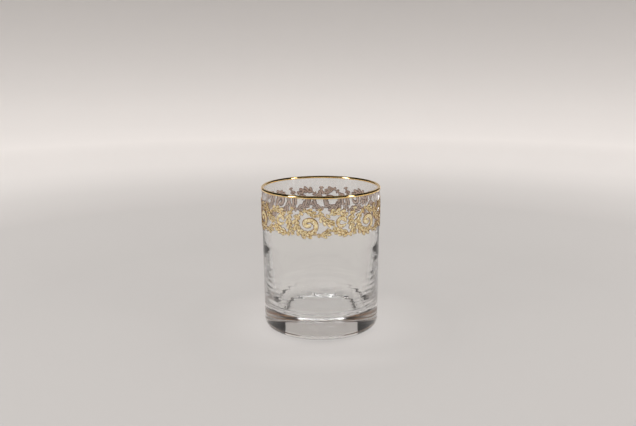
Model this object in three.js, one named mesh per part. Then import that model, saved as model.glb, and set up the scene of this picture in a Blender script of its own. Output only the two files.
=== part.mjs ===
// Whisky tumbler: a thick-based clear glass with a gilded lip and a gilded frieze of leafy scrolls below it.
// Millimetres, +Z up. The ring foot stands on z = 0 and the body is turned about the z axis.
import * as THREE from "three";

// Overall size, over the gilding.
const HEIGHT = 97;
const RIM_RADIUS = 40;

// Glass body. Its wall narrows by the taper from the rim down to the base.
const WALL_TAPER = 1.4;
const BASE_ROUND_HEIGHT = 6.4;
const BASE_ROUND_WIDTH = 8;
const FOOT_WIDTH = 4.5;
const HOLLOW_DEPTH = 1.4;
const RIM_WALL = 1.4;
const BOWL_WALL = 2.2;
const FLOOR_THICKNESS = 14;
const FLOOR_RADIUS = 22.5;
const CORNER_TOP = 52;
const CORNER_LEAN = 3.4;
const CORNER_BELLY = 8;
const CORNER_SPREAD = 6.5;

// Gilding: films over the glass, each with a hairline gap under it.
const GILT_GAP = 0.15;
const RIM_GILT = 0.2;
const RIM_GILT_OUTSIDE = 0.6;
const RIM_GILT_INSIDE = 0.5;
const FRIEZE_GILT = 0.28;
const FRIEZE_HEIGHT = 20.6;
const FRIEZE_DROP = 8.2;

// Counts: sides of the turned pieces, and pairs of a great and a small cell round the frieze.
// The first great cell stands this many degrees round from the front.
const TURN_SIDES = 72;
const FRIEZE_PAIRS = 6;
const FRIEZE_START_DEGREES = -12;

const glassRadius = RIM_RADIUS - RIM_GILT - GILT_GAP;
const lipRadius = RIM_WALL / 2;
const lipCentre = glassRadius - lipRadius;
const lipHeight = HEIGHT - RIM_GILT - GILT_GAP - lipRadius;
const baseRadius = RIM_RADIUS - WALL_TAPER;
const footRadius = baseRadius - BASE_ROUND_WIDTH;
const hollowRadius = footRadius - FOOT_WIDTH;
const bowlRadius = baseRadius - BOWL_WALL;
const friezeMiddle = HEIGHT - FRIEZE_DROP - FRIEZE_HEIGHT / 2;

const { degToRad, lerp, mapLinear, smoothstep } = THREE.MathUtils;
const glass = new THREE.MeshStandardMaterial({
  color: 0xdfe6e6,
  roughness: 0.03,
  metalness: 0,
  transparent: true,
  opacity: 0.35,
});
const gold = new THREE.MeshStandardMaterial({ color: 0xcaa94f, roughness: 0.3, metalness: 1 });

const tumbler = new THREE.Group();
tumbler.name = "whisky_tumbler";

function addPiece(name, geometry, material) {
  const piece = new THREE.Mesh(geometry, material);
  piece.name = name;
  tumbler.add(piece);
}

// Radius of the straight, tapered wall at a height, outside and inside.
const outsideRadius = (z) => mapLinear(z, BASE_ROUND_HEIGHT, lipHeight, baseRadius, glassRadius);
const insideRadius = (z) => mapLinear(z, CORNER_TOP, lipHeight, bowlRadius, lipCentre - lipRadius);

// Points [radius, height] on an oval about a centre, from one angle to another in degrees.
function ovalArc([radius, height], width, rise, from, to, steps) {
  return Array.from({ length: steps + 1 }, (_, i) => {
    const angle = degToRad(from + ((to - from) * i) / steps);
    return [radius + width * Math.cos(angle), height + rise * Math.sin(angle)];
  });
}

// A profile of [radius, height] points turned about the z axis.
function turned(profile) {
  const points = profile.map(([radius, height]) => new THREE.Vector2(radius, height));
  return new THREE.LatheGeometry(points, TURN_SIDES).rotateX(Math.PI / 2);
}

// Glass: dished underside, flat ring foot, rounded base edge, tapered wall and round lip, then the bowl,
// whose wall leans in from half way down and runs out in a flat, thick floor.
function glassProfile() {
  const dish = new THREE.QuadraticBezierCurve(
    new THREE.Vector2(0, HOLLOW_DEPTH),
    new THREE.Vector2(hollowRadius / 2, HOLLOW_DEPTH),
    new THREE.Vector2(hollowRadius, 0),
  );
  const corner = new THREE.CubicBezierCurve(
    new THREE.Vector2(bowlRadius, CORNER_TOP),
    new THREE.Vector2(bowlRadius - CORNER_LEAN, FLOOR_THICKNESS + CORNER_BELLY),
    new THREE.Vector2(FLOOR_RADIUS + CORNER_SPREAD, FLOOR_THICKNESS),
    new THREE.Vector2(FLOOR_RADIUS, FLOOR_THICKNESS),
  );
  return [
    ...dish.getPoints(4).map((point) => [point.x, point.y]),
    ...ovalArc([footRadius, BASE_ROUND_HEIGHT], BASE_ROUND_WIDTH, BASE_ROUND_HEIGHT, -90, 0, 7),
    ...ovalArc([lipCentre, lipHeight], lipRadius, lipRadius, 0, 180, 6),
    ...corner.getPoints(10).map((point) => [point.x, point.y]),
    [0, FLOOR_THICKNESS],
  ];
}
addPiece("glass_body", turned(glassProfile()), glass);

// Gilded lip: a film from the outside of the wall over the round lip to the inside.
function giltRimProfile() {
  const outsideEnd = lipHeight - RIM_GILT_OUTSIDE;
  const insideEnd = lipHeight - RIM_GILT_INSIDE;
  const face = (lift) => [
    [outsideRadius(outsideEnd) + lift, outsideEnd],
    ...ovalArc([lipCentre, lipHeight], lipRadius + lift, lipRadius + lift, 0, 180, 6),
    [insideRadius(insideEnd) - lift, insideEnd],
  ];
  const underside = face(GILT_GAP);
  return [underside[0], ...face(GILT_GAP + RIM_GILT), ...underside.reverse()];
}
addPiece("gilt_rim", turned(giltRimProfile()), gold);

// Strokes of the great and the small cell, in shares of a cell about its middle: x along the wall, y up it.
// A scroll winds from its outer to its inner radius; a leaf sets out on a heading and bends away from it.
// widths holds [share of length, half width], and the lobes stand out from that along both edges.
const FRIEZE_CELLS = [
  {
    scroll: {
      x: -0.02, y: -0.01, outer: 0.365, inner: 0.086, start: 112, sweep: 592,
      widths: [
        [0, 0.03], [0.06, 0.085], [0.2, 0.1], [0.3, 0.104],
        [0.42, 0.094], [0.55, 0.078], [0.95, 0.08], [1, 0.03],
      ],
      lobes: 7, lobesEnd: 0.34, leftLobe: 0.02, rightLobe: 0.048, plainSteps: 22,
    },
    tail_leaf: {
      x: 0.28, y: -0.4, heading: -6, length: 0.495, bend: 84, lateness: 1.4,
      widths: [[0, 0.02], [0.25, 0.084], [0.6, 0.078], [1, 0.02]],
      lobes: 5, lobesEnd: 1, leftLobe: 0.036, rightLobe: 0.05, plainSteps: 0,
    },
    crest_leaf: {
      x: -0.165, y: 0.386, heading: 10, length: 0.485, bend: -76, lateness: 1,
      widths: [[0, 0.02], [0.25, 0.084], [0.6, 0.074], [1, 0.02]],
      lobes: 5, lobesEnd: 1, leftLobe: 0.046, rightLobe: 0.022, plainSteps: 0,
    },
    falling_leaf: {
      x: 0.379, y: 0.49, heading: 261, length: 0.785, bend: 112, lateness: 1.14,
      widths: [[0, 0.02], [0.15, 0.066], [0.5, 0.086], [0.8, 0.08], [1, 0.02]],
      lobes: 8, lobesEnd: 1, leftLobe: 0.036, rightLobe: 0.058, plainSteps: 0,
    },
  },
  {
    scroll: {
      x: 0.05, y: 0.045, outer: 0.155, inner: 0.107, start: -25, sweep: -350,
      widths: [[0, 0.012], [0.15, 0.056], [0.6, 0.062], [0.86, 0.08], [1, 0.03]],
      lobes: 0, lobesEnd: 0, leftLobe: 0, rightLobe: 0, plainSteps: 20,
    },
    tail_leaf: {
      x: 0.405, y: -0.4, heading: 176, length: 0.71, bend: -34, lateness: 1.2,
      widths: [[0, 0.02], [0.25, 0.08], [0.6, 0.078], [1, 0.02]],
      lobes: 6, lobesEnd: 1, leftLobe: 0.05, rightLobe: 0.06, plainSteps: 0,
    },
    crest_leaf: {
      x: -0.408, y: 0.182, heading: 62, length: 0.752, bend: -116, lateness: 0.9,
      widths: [[0, 0.02], [0.3, 0.078], [0.65, 0.066], [1, 0.02]],
      lobes: 7, lobesEnd: 1, leftLobe: 0.055, rightLobe: 0.03, plainSteps: 0,
    },
    falling_leaf: {
      x: 0.53, y: 0.48, heading: 231, length: 0.97, bend: 82, lateness: 1,
      widths: [[0, 0.02], [0.3, 0.07], [0.65, 0.068], [1, 0.02]],
      lobes: 9, lobesEnd: 1, leftLobe: 0.006, rightLobe: 0.066, plainSteps: 0,
    },
  },
];

// Stations of one lobe: share of its length, then shares of its height and of its lean towards the tip.
// At its full lean a lobe reaches forward by this share of its height.
const LOBE_STATIONS = [[0, 0, 0], [0.4, 0.85, 0.4], [0.75, 1, 1]];
const LOBE_LEAN = 0.4;

// Shares of a scroll's length between which it closes in, and of a stroke's length used to read its way.
const CLOSING_IN = [0.27, 0.59];
const NEARBY = 0.001;

// Stations [share of length, lobe height, lobe lean] down a stroke. Lobes shrink towards both ends of a run.
function strokeStations({ lobes, lobesEnd, plainSteps }) {
  const stations = [];
  for (let lobe = 0; lobe < lobes; lobe++)
    for (const [step, height, lean] of LOBE_STATIONS) {
      const along = (lobe + step) / lobes;
      const growth = Math.min(1, 0.35 + 2.8 * along * (1 - along));
      stations.push([along * lobesEnd, height * growth, lean * growth]);
    }
  for (let i = 0; i < plainSteps; i++) stations.push([lobesEnd + ((1 - lobesEnd) * i) / plainSteps, 0, 0]);
  return [...stations, [1, 0, 0]];
}

// Point at a share of a line that winds about a centre, closing in on it between two shares of its way.
function windingLine({ x, y, outer, inner, start, sweep }, share) {
  const angle = degToRad(start + sweep * share);
  const radius = lerp(outer, inner, smoothstep(share, ...CLOSING_IN));
  return new THREE.Vector2(x + radius * Math.cos(angle), y + radius * Math.sin(angle));
}

// Point at a share of a line that bends away from its heading, later the higher its lateness.
function bendingLine({ x, y, heading, length, bend, lateness }, share) {
  const steps = 60;
  const point = new THREE.Vector2(x, y);
  for (let i = 0; i < steps; i++) {
    const angle = degToRad(heading + bend * ((share * (i + 0.5)) / steps) ** lateness);
    point.x += ((length * share) / steps) * Math.cos(angle);
    point.y += ((length * share) / steps) * Math.sin(angle);
  }
  return point;
}

// Half width of a stroke without its lobes.
function plainWidth({ widths }, share) {
  const next = Math.max(1, widths.findIndex(([at]) => at >= share));
  const [from, low] = widths[next - 1];
  const [to, high] = widths[next];
  return mapLinear(share, from, to, low, high);
}

// Left edge, spine and right edge of a stroke, station by station.
function strokeRails(stroke) {
  const line = stroke.sweep ? windingLine : bendingLine;
  return strokeStations(stroke).map(([share, height, lean]) => {
    const spine = line(stroke, share);
    const behind = line(stroke, Math.max(0, share - NEARBY));
    const onwards = line(stroke, Math.min(1, share + NEARBY)).sub(behind).normalize();
    const leftwards = new THREE.Vector2(-onwards.y, onwards.x);
    const width = plainWidth(stroke, share);
    const edge = (side, lobe) =>
      spine
        .clone()
        .addScaledVector(leftwards, side * (width + lobe * height))
        .addScaledVector(onwards, LOBE_LEAN * lobe * lean);
    return { left: edge(1, stroke.leftLobe), spine, right: edge(-1, stroke.rightLobe) };
  });
}

// A stroke laid on the wall in a numbered cell, as a closed strip with a raised spine.
function strokeOnWall(rails, cell) {
  const cellAngle = Math.PI / FRIEZE_PAIRS;
  const onWall = ({ x, y }, lift) => {
    const z = friezeMiddle + y * FRIEZE_HEIGHT;
    const angle = cellAngle * (cell + x) - Math.PI / 2 + degToRad(FRIEZE_START_DEGREES);
    const radius = outsideRadius(z) + GILT_GAP + lift;
    return [radius * Math.cos(angle), radius * Math.sin(angle), z];
  };
  const positions = rails.flatMap(({ left, spine, right }) => {
    const sag = RIM_RADIUS * (1 - Math.cos((cellAngle * (left.x - right.x)) / 2));
    return [...onWall(left, sag), ...onWall(spine, sag + FRIEZE_GILT), ...onWall(right, sag)];
  });
  const last = 3 * (rails.length - 1);
  const faces = [[0, 2, 1], [last, last + 1, last + 2]];
  for (let a = 0; a < last; a += 3)
    for (const [side, next] of [[0, 1], [1, 2], [2, 0]]) {
      faces.push([a + side, a + next, a + next + 3]);
      faces.push([a + side, a + next + 3, a + side + 3]);
    }
  const geometry = new THREE.BufferGeometry();
  geometry.setAttribute("position", new THREE.Float32BufferAttribute(positions, 3));
  geometry.setIndex(faces.flat());
  geometry.computeVertexNormals();
  return geometry;
}

for (let cell = 0; cell < 2 * FRIEZE_PAIRS; cell++)
  for (const [name, stroke] of Object.entries(FRIEZE_CELLS[cell % 2])) {
    const number = String(cell + 1).padStart(2, "0");
    addPiece(`frieze_${name}_${number}`, strokeOnWall(strokeRails(stroke), cell), gold);
  }

export default tumbler;
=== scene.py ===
# A whisky tumbler on a pale studio sweep: a heavy-floored body of clear glass, a gilded lip and,
# below it, a gilded frieze of leafy scrolls. Metres, +Z up, in the frame of the solid model.
import math

import bpy
import numpy as np
from mathutils import Matrix, Vector


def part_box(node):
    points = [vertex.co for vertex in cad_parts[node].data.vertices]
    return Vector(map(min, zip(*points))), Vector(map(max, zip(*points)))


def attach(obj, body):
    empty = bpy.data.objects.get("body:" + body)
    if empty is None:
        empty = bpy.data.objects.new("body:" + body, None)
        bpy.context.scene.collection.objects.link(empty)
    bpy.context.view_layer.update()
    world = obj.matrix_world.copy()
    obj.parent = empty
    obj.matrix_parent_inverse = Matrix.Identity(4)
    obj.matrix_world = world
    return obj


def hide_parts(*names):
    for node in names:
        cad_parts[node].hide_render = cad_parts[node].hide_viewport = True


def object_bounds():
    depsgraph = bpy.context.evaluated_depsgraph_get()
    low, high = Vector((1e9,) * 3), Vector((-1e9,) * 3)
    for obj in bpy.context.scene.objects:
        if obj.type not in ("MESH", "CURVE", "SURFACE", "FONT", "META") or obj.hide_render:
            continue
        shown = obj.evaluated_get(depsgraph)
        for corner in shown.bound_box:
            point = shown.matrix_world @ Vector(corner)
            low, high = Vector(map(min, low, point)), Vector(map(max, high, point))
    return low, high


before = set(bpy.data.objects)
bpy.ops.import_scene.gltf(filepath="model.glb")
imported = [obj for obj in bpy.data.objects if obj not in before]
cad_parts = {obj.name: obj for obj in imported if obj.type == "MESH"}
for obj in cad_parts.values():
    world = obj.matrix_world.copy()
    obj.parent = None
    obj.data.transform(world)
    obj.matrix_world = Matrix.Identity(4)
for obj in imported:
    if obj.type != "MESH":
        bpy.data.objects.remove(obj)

cad_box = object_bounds()


# Clear glass body.
# One gather of clear glass, pressed in a mould with a heavy floor, fire-polished at the lip and ground
# on a ring foot. The mould leaves faint rings down the bowl's corner, and deeper ones round its floor.
MM = 0.001
glass_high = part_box("glass_body")[1]
LIP_ROUND = 0.7 * MM
LIP_CENTRE = glass_high.x - LIP_ROUND
LIP_LEVEL = glass_high.z - LIP_ROUND
BASE_RADIUS = 38.6 * MM
BASE_ROUND_WIDTH = 8.0 * MM
BASE_ROUND_HEIGHT = 6.4 * MM
FOOT_WIDTH = 4.5 * MM
FOOT_EDGE = 0.5 * MM
FOOT_EDGE_RISE = 0.03 * MM
HOLLOW_DEPTH = 1.4 * MM
HOLLOW_FLATNESS = 12
# The hollow's points spread evenly over this share of its area, and the foot's edge begins beyond it.
HOLLOW_AREA = 0.98
BOWL_WALL = 2.2 * MM
FLOOR_LEVEL = 14.0 * MM
FLOOR_RADIUS = 24.5 * MM
CORNER_TOP = 60.0 * MM
CORNER_LEAN = 4.8 * MM
CORNER_BELLY = 6.0 * MM
CORNER_SPREAD = 7.5 * MM
CORNER_STEPS = 120
RING_DEPTH = 0.045 * MM
RING_COUNT = 18
# The rings wander in waves round the glass: waves in a turn, swing in rings, start in radians.
RING_WANDER = ((2, 0.6, 0.8), (5, 0.3, 0), (11, 0.14, 2))
FLOOR_RING_RADIUS = 29.0 * MM
FLOOR_RING_DEPTH = 0.4 * MM
FLOOR_RING_PITCH = 2.2 * MM
FLOOR_RING_SPREAD = 3.0 * MM
FLOOR_RING_WANDER = 0.02
GLASS_SIDES = 256
GLASS_IOR = 1.52

FOOT_RADIUS = BASE_RADIUS - BASE_ROUND_WIDTH
HOLLOW_RADIUS = FOOT_RADIUS - FOOT_WIDTH
BOWL_RADIUS = BASE_RADIUS - BOWL_WALL


def between(value, low, high, at_low, at_high):
    """The number that lies between two others as a value lies between its low and high."""
    return at_low + (at_high - at_low) * (value - low) / (high - low)


def outside_radius(z):
    """Radius of the straight outside wall at a height."""
    return between(z, BASE_ROUND_HEIGHT, LIP_LEVEL, BASE_RADIUS, LIP_CENTRE + LIP_ROUND)


def inside_radius(z):
    """Radius of the bowl's straight wall at a height."""
    return between(z, CORNER_TOP, LIP_LEVEL, BOWL_RADIUS, LIP_CENTRE - LIP_ROUND)


def oval_arc(middle, width, rise, start, end, steps):
    """Points (radius, height) on an oval about a middle point, from one angle to another in degrees."""
    angles = np.radians(np.linspace(start, end, steps + 1))
    return [(middle[0] + width * math.cos(a), middle[1] + rise * math.sin(a)) for a in angles]


def straight(start, end, steps):
    """Points between two points, without either of them."""
    return [tuple(between(i, 0, steps, start[k], end[k]) for k in (0, 1)) for i in range(1, steps)]


def bowl_corner(turn):
    """The bowl's corner from wall to floor: faint rings, which give way to deeper ones low down."""
    ends = np.array([
        (BOWL_RADIUS, CORNER_TOP),
        (BOWL_RADIUS - CORNER_LEAN, FLOOR_LEVEL + CORNER_BELLY),
        (FLOOR_RADIUS + CORNER_SPREAD, FLOOR_LEVEL),
        (FLOOR_RADIUS, FLOOR_LEVEL),
    ])
    t = np.linspace(0, 1, CORNER_STEPS + 1)[:, None]
    line = np.hstack([(1 - t) ** 3, 3 * t * (1 - t) ** 2, 3 * t * t * (1 - t), t ** 3]) @ ends
    onwards = np.hstack([(1 - t) ** 2, 2 * t * (1 - t), t * t]) @ np.diff(ends, axis=0)
    inwards = onwards[:, ::-1] * (1, -1) / np.linalg.norm(onwards, axis=1, keepdims=True)
    wander = sum(swing * math.sin(waves * turn + start) for waves, swing, start in RING_WANDER)
    down_wall = RING_COUNT * t + wander * (1 - t)
    rings = RING_DEPTH * np.sin(math.pi * t) ** 2 * np.sin(2 * math.pi * down_wall)
    beside = line[:, :1] - FLOOR_RING_RADIUS
    fading = np.exp(-(beside / FLOOR_RING_SPREAD) ** 2)
    around_floor = beside / FLOOR_RING_PITCH + FLOOR_RING_WANDER * wander
    floor_rings = FLOOR_RING_DEPTH * fading * np.sin(2 * math.pi * around_floor)
    return [tuple(point) for point in line + inwards * (rings * (1 - fading) + floor_rings)]


def glass_profile(turn):
    """From the middle of the underside round the foot, up to the lip and down to the bowl's floor."""
    outwards = np.sqrt(np.linspace(0, HOLLOW_AREA, num=40))
    hollow = [(HOLLOW_RADIUS * t, HOLLOW_DEPTH * (1 - t ** HOLLOW_FLATNESS)) for t in outwards]
    foot_edge = [(HOLLOW_RADIUS + FOOT_EDGE * t, FOOT_EDGE_RISE * (1 - t) ** 2) for t in (0, 0.5, 1)]
    foot = straight((HOLLOW_RADIUS + FOOT_EDGE, 0), (FOOT_RADIUS, 0), steps=4)
    base_middle = (FOOT_RADIUS, BASE_ROUND_HEIGHT)
    base = oval_arc(base_middle, BASE_ROUND_WIDTH, BASE_ROUND_HEIGHT, -90, 0, steps=20)
    wall = straight((BASE_RADIUS, BASE_ROUND_HEIGHT), (LIP_CENTRE + LIP_ROUND, LIP_LEVEL), steps=24)
    lip = oval_arc((LIP_CENTRE, LIP_LEVEL), LIP_ROUND, LIP_ROUND, 0, 180, steps=14)
    bowl = straight((LIP_CENTRE - LIP_ROUND, LIP_LEVEL), (BOWL_RADIUS, CORNER_TOP), steps=24)
    floor = straight((FLOOR_RADIUS, FLOOR_LEVEL), (0, FLOOR_LEVEL), steps=16)
    outside = [*hollow, *foot_edge, *foot, *base, *wall, *lip]
    return [*outside, *bowl, *bowl_corner(turn), *floor, (0, FLOOR_LEVEL)]


def full_turn(sides):
    """The angle of each side round the z axis."""
    return [2 * math.pi * i / sides for i in range(sides)]


def turned_mesh(name, profiles):
    """Profiles of (radius, height) points, one for each side, joined round the z axis."""
    sides = len(profiles)
    meets_axis = False
    vertices, rings = [], []
    for ring in zip(*profiles):
        if ring[0][0] == 0:
            meets_axis = True
            rings.append([len(vertices)] * sides)
            vertices.append((0, 0, ring[0][1]))
            continue
        rings.append(range(len(vertices), len(vertices) + sides))
        for turn, (radius, height) in zip(full_turn(sides), ring):
            vertices.append((radius * math.cos(turn), radius * math.sin(turn), height))
    if not meets_axis:
        rings.append(rings[0])
    faces = []
    for low, high in zip(rings, rings[1:]):
        for i in range(sides):
            corners = (low[i], low[(i + 1) % sides], high[(i + 1) % sides], high[i])
            faces.append(tuple(dict.fromkeys(corners)))
    mesh = bpy.data.meshes.new(name)
    mesh.from_pydata(vertices, [], faces)
    mesh.polygons.foreach_set("use_smooth", [True] * len(mesh.polygons))
    return mesh


def new_piece(name, mesh, *materials):
    piece = bpy.data.objects.new(name, mesh)
    bpy.context.scene.collection.objects.link(piece)
    for material in materials:
        mesh.materials.append(material)
    return piece


def new_material(name):
    """A node material with its Principled shader, and the tree they are in."""
    material = bpy.data.materials.new(name)
    material.use_nodes = True
    tree = material.node_tree
    return material, tree, tree.nodes["Principled BSDF"]


def add_node(tree, kind, values=None, **settings):
    """A shader node with its settings, and plain values or links put on its inputs."""
    node = tree.nodes.new("ShaderNode" + kind)
    for key, value in settings.items():
        setattr(node, key, value)
    for key, value in (values or {}).items():
        if isinstance(value, bpy.types.NodeSocket):
            tree.links.new(value, node.inputs[key])
        else:
            node.inputs[key].default_value = value
    return node


def add_ramp(tree, factor, stops):
    """A colour ramp through stops of (place, colour)."""
    ramp = add_node(tree, "ValToRGB", {"Fac": factor})
    elements = ramp.color_ramp.elements
    while len(elements) < len(stops):
        elements.new(0.5)
    for element, (place, colour) in zip(elements, stops):
        element.position = place
        element.color = (*colour, 1)
    return ramp.outputs["Color"]


def clear_glass():
    material, tree, shader = new_material("clear_glass")
    place = add_node(tree, "TexCoord").outputs["Object"]
    streaks = add_node(tree, "TexNoise", {"Vector": place, "Scale": 45, "Detail": 2}).outputs["Fac"]
    tint = add_ramp(tree, streaks, ((0.3, (0.985, 0.985, 0.975)), (0.7, (0.995, 0.993, 0.988))))
    waves = add_node(tree, "Bump", {"Strength": 0.02, "Distance": 1.0 * MM, "Height": streaks})
    tree.links.new(tint, shader.inputs["Base Color"])
    tree.links.new(waves.outputs["Normal"], shader.inputs["Normal"])
    shader.inputs["Transmission Weight"].default_value = 1
    shader.inputs["Roughness"].default_value = 0
    shader.inputs["IOR"].default_value = GLASS_IOR
    depth = add_node(tree, "VolumeAbsorption", {"Color": (0.3, 0.32, 0.3, 1), "Density": 1.4})
    tree.links.new(depth.outputs["Volume"], tree.nodes["Material Output"].inputs["Volume"])
    return material


glass_mesh = turned_mesh("glass_tumbler", [glass_profile(turn) for turn in full_turn(GLASS_SIDES)])
body = new_piece("glass_tumbler", glass_mesh, clear_glass())
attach(body, "root")
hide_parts("glass_body")
# Light reaches the table through the glass, so that only the gold throws a shadow on it.
body.visible_shadow = False


# Gilded lip.
# A band of bright gold brushed over the round lip and fired. It comes a little further down the outside
# than the inside, and thins out at both its edges.
RIM_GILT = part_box("gilt_rim")[1].z - glass_high.z
RIM_SEAT = 0.02 * MM
RIM_OUTSIDE = 0.75 * MM
RIM_INSIDE = 0.45 * MM
RIM_THINNING = 0.25 * MM
RIM_SHOULDER = 0.06 * MM
RIM_SHOULDER_SHARE = 0.6


def rim_face(lift, shorter):
    """A line over the lip from outside to inside, lifted off the glass and cut shorter at both ends."""
    low_outside = LIP_LEVEL - RIM_OUTSIDE + shorter
    low_inside = LIP_LEVEL - RIM_INSIDE + shorter
    start = (outside_radius(low_outside) + lift, low_outside)
    end = (inside_radius(low_inside) - lift, low_inside)
    over = oval_arc((LIP_CENTRE, LIP_LEVEL), LIP_ROUND + lift, LIP_ROUND + lift, 0, 180, steps=24)
    up_outside = straight(start, over[0], steps=4)
    down_inside = straight(over[-1], end, steps=4)
    return [start, *up_outside, *over, *down_inside, end]


def rim_profile():
    """Round the film: from its outer edge over its bright face, and back along its seat on the glass."""
    bright = rim_face(RIM_GILT, RIM_THINNING)
    shoulder = rim_face(RIM_GILT * RIM_SHOULDER_SHARE, RIM_SHOULDER)
    seat = rim_face(-RIM_SEAT, 0)
    return [seat[0], shoulder[0], *bright, shoulder[-1], *reversed(seat[1:])]


def bright_gold():
    material, tree, shader = new_material("bright_gold")
    place = add_node(tree, "TexCoord").outputs["Object"]
    strokes = add_node(tree, "TexNoise", {"Vector": place, "Scale": 260, "Detail": 3}).outputs["Fac"]
    colour = add_ramp(tree, strokes, ((0.3, (0.94, 0.58, 0.18)), (0.7, (1.0, 0.80, 0.42))))
    polish = add_node(tree, "MapRange", {"Value": strokes, "To Min": 0.015, "To Max": 0.05})
    waves = add_node(tree, "Bump", {"Strength": 0.04, "Distance": 0.4 * MM, "Height": strokes})
    tree.links.new(colour, shader.inputs["Base Color"])
    tree.links.new(polish.outputs["Result"], shader.inputs["Roughness"])
    tree.links.new(waves.outputs["Normal"], shader.inputs["Normal"])
    shader.inputs["Metallic"].default_value = 1
    return material


rim = new_piece("gold_rim", turned_mesh("gold_rim", [rim_profile()] * GLASS_SIDES), bright_gold())
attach(rim, "root")
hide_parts("gilt_rim")


# Gilded frieze.
# Leafy scrolls in great and small cells, laid on the wall as films of gold and fired: a brown outline
# raised round a pale grainy field. Their backs, seen through the glass, are a dull mauve brown.
FRIEZE_HEIGHT = 19.6 * MM
FRIEZE_DROP = 7.4 * MM
FRIEZE_CELLS = 12
FRIEZE_START = math.radians(-12)
FRIEZE_MIDDLE = cad_box[1].z - FRIEZE_DROP - FRIEZE_HEIGHT / 2
FRIEZE_GILT = 0.40 * MM
# Leaves that overlap are seated at different depths, so that their undersides don't coincide.
FRIEZE_SEAT = 0.02 * MM
SEAT_DEPTHS = 3
# A stroke is drawn about the middle of its cell: x in cell widths along the wall, y in frieze heights.
# Its widths are (share of its length, half width) and its angles degrees. Leaves run to leaves_end.
GREAT_CELL = {
    "scroll": dict(
        x=-0.02, y=-0.01, outer=0.365, inner=0.086, start=112, sweep=592,
        widths=((0, 0.03), (0.06, 0.085), (0.2, 0.1), (0.3, 0.104),
                (0.42, 0.094), (0.55, 0.078), (0.95, 0.08), (1, 0.03)),
        leaves=8, leaves_end=0.34, left_lobe=0.02, right_lobe=0.048,
    ),
    "tail_leaf": dict(
        x=0.28, y=-0.4, heading=-6, length=0.495, bend=84, lateness=1.4,
        widths=((0, 0.02), (0.25, 0.084), (0.6, 0.078), (1, 0.02)),
        leaves=4, leaves_end=1, left_lobe=0.036, right_lobe=0.05,
    ),
    "crest_leaf": dict(
        x=-0.165, y=0.386, heading=10, length=0.485, bend=-76, lateness=1,
        widths=((0, 0.02), (0.25, 0.084), (0.6, 0.074), (1, 0.02)),
        leaves=4, leaves_end=1, left_lobe=0.046, right_lobe=0.022,
    ),
    "falling_leaf": dict(
        x=0.379, y=0.49, heading=261, length=0.785, bend=112, lateness=1.14,
        widths=((0, 0.02), (0.15, 0.066), (0.5, 0.086), (0.8, 0.08), (1, 0.02)),
        leaves=6, leaves_end=1, left_lobe=0.036, right_lobe=0.058,
    ),
}
SMALL_CELL = {
    "scroll": dict(
        x=0.05, y=0.045, outer=0.155, inner=0.107, start=-25, sweep=-350,
        widths=((0, 0.012), (0.15, 0.056), (0.6, 0.062), (0.86, 0.08), (1, 0.03)),
        leaves=0, leaves_end=0, left_lobe=0, right_lobe=0,
    ),
    "tail_leaf": dict(
        x=0.405, y=-0.4, heading=176, length=0.71, bend=-34, lateness=1.2,
        widths=((0, 0.02), (0.25, 0.08), (0.6, 0.078), (1, 0.02)),
        leaves=5, leaves_end=1, left_lobe=0.05, right_lobe=0.06,
    ),
    "crest_leaf": dict(
        x=-0.408, y=0.182, heading=62, length=0.752, bend=-116, lateness=0.9,
        widths=((0, 0.02), (0.3, 0.078), (0.65, 0.066), (1, 0.02)),
        leaves=5, leaves_end=1, left_lobe=0.055, right_lobe=0.03,
    ),
    "falling_leaf": dict(
        x=0.53, y=0.48, heading=231, length=0.97, bend=82, lateness=1,
        widths=((0, 0.02), (0.3, 0.07), (0.65, 0.068), (1, 0.02)),
        leaves=7, leaves_end=1, left_lobe=0.006, right_lobe=0.066,
    ),
}
# A scroll closes in on its centre between these shares of its length.
CLOSING_IN = (0.27, 0.59)
# Side leaves stand off a midrib at LEAF_OPENING degrees and curl back towards its tip. LEAF_SPREAD is
# the share of a leaf's length that reaches sideways, LEAF_FULLNESS its half width in pitches.
# A row begins LEAF_FIRST of a pitch along. Its leaves grow from LEAF_LEAST of full size, then shrink.
LEAF_FIRST = 0.25
LEAF_LEAST = 0.5
LEAF_GROWTH = 2.4
LEAF_OPENING = 62
LEAF_CURL = 62
LEAF_SPREAD = 0.72
LEAF_FULLNESS = 0.40
LEAF_SHAPE = ((0, 0.7), (0.3, 0.9), (0.6, 1), (0.8, 0.95), (0.92, 0.72), (1, 0.3))
# A leafy stretch keeps this share of its width as a midrib, and regains the rest over MIDRIB_END.
MIDRIB_SHARE = 0.66
MIDRIB_END = 0.1
# Across a stroke from edge to spine: share of the half width, then height as a share of the gilding.
RELIEF = ((1, 0.1), (0.95, 0.7), (0.84, 1.0), (0.7, 0.62), (0.5, 0.42), (0.25, 0.56), (0, 0.8))
# The outline takes the outermost columns and, beneath, all outside this share of the half width.
OUTLINE_COLUMNS = 3
OUTLINE_SHARE = 0.6
SCROLL_STEPS = 90
SPINE_STEPS = 40
LEAF_STEPS = 11
# The order of the finishes in a stroke's material slots.
FIELD, OUTLINE, FIELD_BACK, OUTLINE_BACK = range(4)


def winding_line(stroke, share):
    """Point at a share of a line that winds about a centre and closes in on it part of the way."""
    angle = math.radians(stroke["start"] + stroke["sweep"] * share)
    closed = min(1, max(0, between(share, *CLOSING_IN, 0, 1)))
    radius = between(closed * closed * (3 - 2 * closed), 0, 1, stroke["outer"], stroke["inner"])
    return Vector((stroke["x"] + radius * math.cos(angle), stroke["y"] + radius * math.sin(angle)))


def bending_line(stroke, share):
    """Point at a share of a line that bends away from its heading, later the higher its lateness."""
    steps = 40
    point = Vector((stroke["x"], stroke["y"]))
    for i in range(steps):
        bent = stroke["bend"] * (share * (i + 0.5) / steps) ** stroke["lateness"]
        angle = math.radians(stroke["heading"] + bent)
        point += Vector((math.cos(angle), math.sin(angle))) * stroke["length"] * share / steps
    return point


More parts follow.
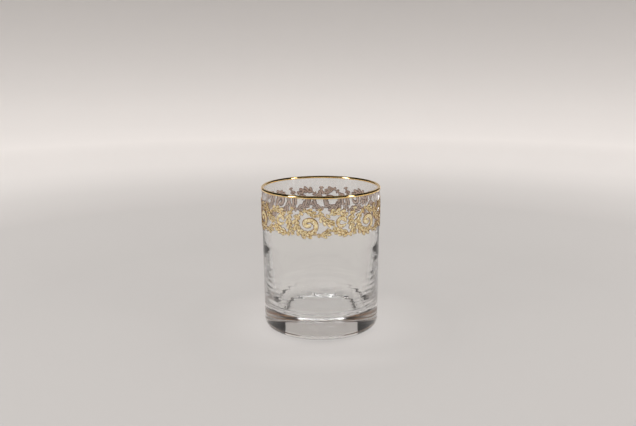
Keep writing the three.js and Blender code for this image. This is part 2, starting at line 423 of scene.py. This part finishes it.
def spine_at(stroke, share):
    """Point and direction at a share of a stroke's spine."""
    line = winding_line if "sweep" in stroke else bending_line
    nearby = 0.001
    ahead = line(stroke, min(1, share + nearby))
    behind = line(stroke, max(0, share - nearby))
    return line(stroke, share), (ahead - behind).normalized()


def width_at(stroke, share):
    """Half width at a share of a stroke's length."""
    shares, widths = zip(*stroke["widths"])
    return float(np.interp(share, shares, widths))


def side_leaves(stroke):
    """The leaves down both sides of a stroke, each a stroke itself, smaller at the ends of the row."""
    leaves = []
    for i in range(stroke["leaves"]):
        along = (i + LEAF_FIRST) / stroke["leaves"]
        share = along * stroke["leaves_end"]
        root, onwards = spine_at(stroke, share)
        pitch = (spine_at(stroke, share + stroke["leaves_end"] / stroke["leaves"])[0] - root).length
        growth = min(1, LEAF_LEAST + LEAF_GROWTH * along * (1 - along))
        for side, lobe in ((1, stroke["left_lobe"]), (-1, stroke["right_lobe"])):
            leaves.append(dict(
                x=root.x, y=root.y, lateness=1, bend=-side * LEAF_CURL, leaves=0,
                heading=math.degrees(math.atan2(onwards.y, onwards.x)) + side * LEAF_OPENING,
                length=growth * (width_at(stroke, share) + lobe) / LEAF_SPREAD,
                widths=[(at, full * pitch * LEAF_FULLNESS) for at, full in LEAF_SHAPE],
            ))
    return leaves


def on_wall(point, lift, cell):
    """A point of a cell put in its place on the wall and lifted off it."""
    z = FRIEZE_MIDDLE + point.y * FRIEZE_HEIGHT
    angle = 2 * math.pi / FRIEZE_CELLS * (cell + point.x) - math.pi / 2 + FRIEZE_START
    radius = outside_radius(z) + lift
    return radius * math.cos(angle), radius * math.sin(angle), z


def stroke_stations(stroke, steps):
    """Spine, leftward direction and half width down a stroke; a leafy stretch keeps only its midrib."""
    stations = []
    for share in np.linspace(0, 1, steps):
        spine, onwards = spine_at(stroke, share)
        slimness = 1
        if stroke["leaves"]:
            bare = stroke["leaves_end"]
            slimness = float(np.interp(share, (bare, bare + MIDRIB_END), (MIDRIB_SHARE, 1)))
        stations.append((spine, Vector((-onwards.y, onwards.x)), width_at(stroke, share) * slimness))
    return stations


def stroke_mesh(name, stroke, cell):
    """A stroke and its side leaves laid on the wall, as ribbons with a raised outline and a rib."""
    vertices, faces, slots = [], [], []
    across = [*RELIEF, *((-share, height) for share, height in reversed(RELIEF[:-1]))]
    beneath = (-1, -OUTLINE_SHARE, OUTLINE_SHARE, 1)
    around = len(across) + len(beneath)
    for order, ribbon in enumerate([stroke, *side_leaves(stroke)]):
        steps = SPINE_STEPS if ribbon is stroke else LEAF_STEPS
        if "sweep" in ribbon:
            steps = SCROLL_STEPS
        seat = FRIEZE_SEAT * (1 + order % SEAT_DEPTHS)
        first = len(vertices)
        for spine, leftwards, width in stroke_stations(ribbon, steps):
            for share, height in across:
                vertices.append(on_wall(spine + leftwards * share * width, FRIEZE_GILT * height, cell))
            for share in beneath:
                vertices.append(on_wall(spine + leftwards * share * width, -seat, cell))
        faces.append(tuple(range(first, first + around)))
        slots.append(FIELD_BACK)
        for a in range(first, len(vertices) - around, around):
            for column in range(around):
                beside = (column + 1) % around
                faces.append((a + column, a + around + column, a + around + beside, a + beside))
                from_edge = min(column, len(across) - 2 - column)
                if from_edge < 0:
                    slots.append(FIELD_BACK if column == len(across) + 1 else OUTLINE_BACK)
                else:
                    slots.append(OUTLINE if from_edge < OUTLINE_COLUMNS else FIELD)
        faces.append(tuple(range(len(vertices) - 1, len(vertices) - around - 1, -1)))
        slots.append(FIELD_BACK)
    mesh = bpy.data.meshes.new(name)
    mesh.from_pydata(vertices, [], faces)
    mesh.polygons.foreach_set("use_smooth", [True] * len(faces))
    mesh.polygons.foreach_set("material_index", slots)
    return mesh


def gilding_grain():
    """Node group for the grain of the fired gold: its tone, its bright flecks and its bumps."""
    group = bpy.data.node_groups.new("gilding_grain", "ShaderNodeTree")
    group.interface.new_socket("Relief", in_out="INPUT", socket_type="NodeSocketFloat")
    for name, kind in (("Tone", "Float"), ("Flecks", "Float"), ("Normal", "Vector")):
        group.interface.new_socket(name, in_out="OUTPUT", socket_type="NodeSocket" + kind)
    given = group.nodes.new("NodeGroupInput")
    result = group.nodes.new("NodeGroupOutput")
    place = add_node(group, "TexCoord").outputs["Object"]
    mottle = add_node(
        group, "TexNoise", {"Vector": place, "Scale": 620, "Detail": 4, "Roughness": 0.65}
    ).outputs["Fac"]
    grains = add_node(group, "TexVoronoi", {"Vector": place, "Scale": 1500})
    flecks = add_node(
        group, "MapRange", {"Value": grains.outputs["Color"], "From Min": 0.62, "From Max": 0.9}
    ).outputs["Result"]
    height = add_node(
        group, "Math", {0: mottle, 1: grains.outputs["Distance"]}, operation="SUBTRACT"
    ).outputs["Value"]
    bumps = add_node(
        group, "Bump", {"Strength": given.outputs["Relief"], "Distance": 0.3 * MM, "Height": height}
    )
    group.links.new(mottle, result.inputs["Tone"])
    group.links.new(flecks, result.inputs["Flecks"])
    group.links.new(bumps.outputs["Normal"], result.inputs["Normal"])
    return group


def fired_gold(name, grain, relief, dark, pale, fleck, smooth, rough):
    """A gold whose colour and polish follow its grain, with its shader."""
    material, tree, shader = new_material(name)
    grained = add_node(tree, "Group", node_tree=grain)
    grained.inputs["Relief"].default_value = relief
    tone = add_ramp(tree, grained.outputs["Tone"], ((0.34, dark), (0.62, pale)))
    flecked = add_node(
        tree, "MixRGB", {"Fac": grained.outputs["Flecks"], "Color1": tone, "Color2": (*fleck, 1)}
    )
    finish = add_node(
        tree, "MapRange", {"Value": grained.outputs["Tone"], "To Min": rough, "To Max": smooth}
    )
    tree.links.new(flecked.outputs["Color"], shader.inputs["Base Color"])
    tree.links.new(finish.outputs["Result"], shader.inputs["Roughness"])
    tree.links.new(grained.outputs["Normal"], shader.inputs["Normal"])
    return material, shader


def frieze_materials():
    """The finishes of the frieze, in the order of their slots."""
    grain = gilding_grain()
    field, shader = fired_gold(
        "grainy_gold", grain, relief=1.0, smooth=0.2, rough=0.5,
        dark=(0.56, 0.38, 0.15), pale=(1.0, 0.86, 0.53), fleck=(1.0, 0.97, 0.80),
    )
    shader.inputs["Metallic"].default_value = 0.35
    outline, shader = fired_gold(
        "outline_gold", grain, relief=0.35, smooth=0.14, rough=0.36,
        dark=(0.24, 0.09, 0.015), pale=(0.50, 0.27, 0.06), fleck=(0.95, 0.72, 0.38),
    )
    shader.inputs["Metallic"].default_value = 0.8
    field_back, _ = fired_gold(
        "gilding_back", grain, relief=0.2, smooth=0.5, rough=0.7,
        dark=(0.70, 0.45, 0.33), pale=(1.0, 0.74, 0.60), fleck=(1.0, 0.84, 0.72),
    )
    outline_back, _ = fired_gold(
        "outline_back", grain, relief=0.2, smooth=0.5, rough=0.7,
        dark=(0.10, 0.03, 0.012), pale=(0.22, 0.10, 0.05), fleck=(0.36, 0.21, 0.13),
    )
    return field, outline, field_back, outline_back


frieze_finishes = frieze_materials()
for cell in range(FRIEZE_CELLS):
    for kind, stroke in (SMALL_CELL if cell % 2 else GREAT_CELL).items():
        name = f"gold_{kind}_{cell + 1:02d}"
        leaf = new_piece(name, stroke_mesh(name, stroke, cell), *frieze_finishes)
        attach(leaf, "root")
        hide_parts(f"frieze_{kind}_{cell + 1:02d}")


# Studio sweep.
# A pale, matt round table top that curves up into a low wall, all one sheet.
# Its colour carries painted light and shade: a painted glow under the glass, painted shade round it,
# and a painted pool of light brightest where the table meets the wall, with shade painted up the wall.
TABLE_RADIUS = 1.0
WALL_RADIUS = 1.5
WALL_TOP = 1.0
SWEEP_SIDES = 96
SWEEP_TINT = (1, 0.955, 0.925)
# Tones of painted light and shade by distance from the glass, as a share of the wall's radius.
SWEEP_PAINTED_LIGHT_TONES = (
    (0.0, 0.55), (0.06, 0.41), (0.16, 0.415), (0.29, 0.465), (0.38, 0.57),
    (0.5, 0.755), (0.7, 0.945), (0.82, 0.80), (1.0, 0.495),
)


def sweep_profile():
    rise = WALL_RADIUS - TABLE_RADIUS
    table = straight((0, 0), (TABLE_RADIUS, 0), steps=20)
    curve = oval_arc((TABLE_RADIUS, rise), rise, rise, -90, 0, steps=16)
    return [(0, 0), *table, *curve, (WALL_RADIUS, WALL_TOP)]


def tinted(tones, tint):
    """Stops of (place, tone) as stops of (place, colour)."""
    return [(place, tuple(tone * share for share in tint)) for place, tone in tones]


def pale_sweep():
    material, tree, shader = new_material("pale_sweep")
    place = add_node(tree, "TexCoord").outputs["Object"]
    reach = add_node(tree, "VectorMath", {0: place}, operation="LENGTH").outputs["Value"]
    share = add_node(tree, "MapRange", {"Value": reach, "From Max": WALL_RADIUS}).outputs["Result"]
    # The ramp paints the sweep's light and shade into its colour.
    colour = add_ramp(tree, share, tinted(SWEEP_PAINTED_LIGHT_TONES, SWEEP_TINT))
    tree.links.new(colour, shader.inputs["Base Color"])
    shader.inputs["Roughness"].default_value = 0.8
    shader.inputs["Specular IOR Level"].default_value = 0
    return material


sweep_mesh = turned_mesh("studio_sweep", [sweep_profile()] * SWEEP_SIDES)
sweep = new_piece("studio_sweep", sweep_mesh, pale_sweep())


# Black flags.
# Dark cloth hung to both sides of the table and before it, out of the picture, with a canopy over them
# and an apron on the table. They draw the dark edges in the glass and the black stretches in the gold.
FLAG_DISTANCE = 1.15
FLAG_BOTTOM = 0.03
FLAG_TOP = 0.8
CANOPY_TOP = 2.6
FLAG_OPENING = 28
SIDE_FLAG_END = 62
FLAG_STEPS = 48
APRON_NEAR = 0.62
APRON_HEIGHT = 0.004
APRON_SPREAD = 75


def band_mesh(name, low, high, start, end):
    """A band between two (radius, height) rings, from one turn to another in degrees from the back."""
    vertices = []
    for turn in np.radians(np.linspace(start, end, FLAG_STEPS + 1)):
        for radius, height in (low, high):
            vertices.append((radius * math.sin(turn), radius * math.cos(turn), height))
    faces = [(a, a + 2, a + 3, a + 1) for a in range(0, len(vertices) - 2, 2)]
    mesh = bpy.data.meshes.new(name)
    mesh.from_pydata(vertices, [], faces)
    return mesh


def black_cloth():
    material, tree, shader = new_material("black_cloth")
    place = add_node(tree, "TexCoord").outputs["Object"]
    weave = add_node(tree, "TexNoise", {"Vector": place, "Scale": 400, "Detail": 2}).outputs["Fac"]
    colour = add_ramp(tree, weave, ((0.3, (0.006, 0.006, 0.006)), (0.7, (0.012, 0.012, 0.013))))
    tree.links.new(colour, shader.inputs["Base Color"])
    shader.inputs["Roughness"].default_value = 0.9
    shader.inputs["Specular IOR Level"].default_value = 0.1
    return material


cloth = black_cloth()
upright = (FLAG_DISTANCE, FLAG_BOTTOM), (FLAG_DISTANCE, FLAG_TOP)
flat = (APRON_NEAR, APRON_HEIGHT), (FLAG_DISTANCE, APRON_HEIGHT)
overhead = (FLAG_DISTANCE, FLAG_TOP), (FLAG_DISTANCE, CANOPY_TOP)
for name, rings, start, end, in_glass in (
    ("right_flag", upright, FLAG_OPENING, SIDE_FLAG_END, True),
    ("left_flag", upright, 360 - SIDE_FLAG_END, 360 - FLAG_OPENING, True),
    ("front_flag", upright, SIDE_FLAG_END, 360 - SIDE_FLAG_END, False),
    ("apron", flat, 180 - APRON_SPREAD, 180 + APRON_SPREAD, False),
    ("canopy", overhead, 0, 360, True),
):
    flag = new_piece(name, band_mesh(name, *rings, start, end), cloth)
    flag.visible_camera = False
    flag.visible_diffuse = False
    flag.visible_shadow = False
    flag.visible_transmission = in_glass


# Studio light and camera.
# A broad soft box overhead lights the table, with a dim one for reflections and two slim ones seen only
# through the glass. Two boxes stand in front, a fill over the camera and a small light behind.
LAMP_HEIGHT = 1.4
OVER_TABLE = (0, 0.12, LAMP_HEIGHT)
ON_TABLE = (0, 0.12, 0)
AT_FRIEZE = (0, 0, 0.08)
GLASS_EDGE = (0.038, -0.012, 0.085)
ROOM_TINT = (1, 0.97, 0.93)
# Tones of the room by how far up one looks: 0 is level, 1 is straight overhead.
ROOM_TONES = ((0.4, 0.10), (0.56, 0.36), (0.85, 0.48), (0.93, 0.06), (1.0, 0.02))


def soft_box(name, place, target, size, power):
    """A rectangular lamp aimed at a point, which neither the camera nor the glass shows."""
    light = bpy.data.lights.new(name, "AREA")
    light.shape = "RECTANGLE"
    light.size, light.size_y = size
    light.energy = power
    lamp = bpy.data.objects.new(name, light)
    lamp.location = place
    lamp.rotation_euler = (Vector(target) - Vector(place)).to_track_quat("-Z", "Y").to_euler()
    lamp.visible_camera = False
    lamp.visible_transmission = False
    bpy.context.scene.collection.objects.link(lamp)
    return lamp


main_box = soft_box("overhead_box", OVER_TABLE, ON_TABLE, size=(1.4, 0.35), power=17.7)
main_box.visible_glossy = False
glow = soft_box("overhead_glow", OVER_TABLE, ON_TABLE, size=(1.6, 0.7), power=1.6)
glow.visible_diffuse = False
for name, back, power in (("front_glint", -0.35, 2.4), ("back_glint", 0.6, 5.0)):
    glint = soft_box(name, (0, back, LAMP_HEIGHT), AT_FRIEZE, size=(1.6, 0.12), power=power)
    glint.visible_transmission = True
    glint.visible_diffuse = False
    glint.visible_glossy = False
soft_box("left_box", (-0.8, -0.5, 0.45), AT_FRIEZE, size=(0.18, 0.7), power=3.2)
soft_box("right_box", (0.82, -0.45, 0.45), AT_FRIEZE, size=(0.12, 0.7), power=2.8)
fill = soft_box("front_fill", (0, -1.3, 1.0), AT_FRIEZE, size=(0.8, 0.5), power=4.9)
fill.visible_glossy = False
edge = soft_box("edge_light", (0.16, 0.2, 0.0325), GLASS_EDGE, size=(0.03, 0.025), power=0.008)
edge.visible_diffuse = False

world = bpy.data.worlds.new("studio_room")
world.use_nodes = True
room = world.node_tree
direction = add_node(room, "TexCoord").outputs["Generated"]
upwards = add_node(room, "SeparateXYZ", {0: direction}).outputs["Z"]
walls = add_ramp(room, upwards, tinted(ROOM_TONES, ROOM_TINT))
room.links.new(walls, room.nodes["Background"].inputs["Color"])
bpy.context.scene.world = world
bpy.context.scene.view_settings.view_transform = "Standard"
cycles = bpy.context.scene.cycles
cycles.max_bounces = 32
cycles.transmission_bounces = 32
cycles.glossy_bounces = 16
cycles.caustics_reflective = False
cycles.caustics_refractive = False

CAMERA_PLACE = (-0.0019, -0.55, 0.1953)
CAMERA_TILT = 77.97
CAMERA_ROLL = -0.28
CAMERA_LENS = 47.32
camera_data = bpy.data.cameras.new("camera")
camera_data.sensor_width = 36
camera_data.lens = CAMERA_LENS
camera = bpy.data.objects.new("camera", camera_data)
tilt = Matrix.Rotation(math.radians(CAMERA_TILT), 4, "X")
roll = Matrix.Rotation(math.radians(CAMERA_ROLL), 4, "Z")
camera.matrix_world = Matrix.Translation(CAMERA_PLACE) @ tilt @ roll
bpy.context.scene.collection.objects.link(camera)
bpy.context.scene.camera = camera
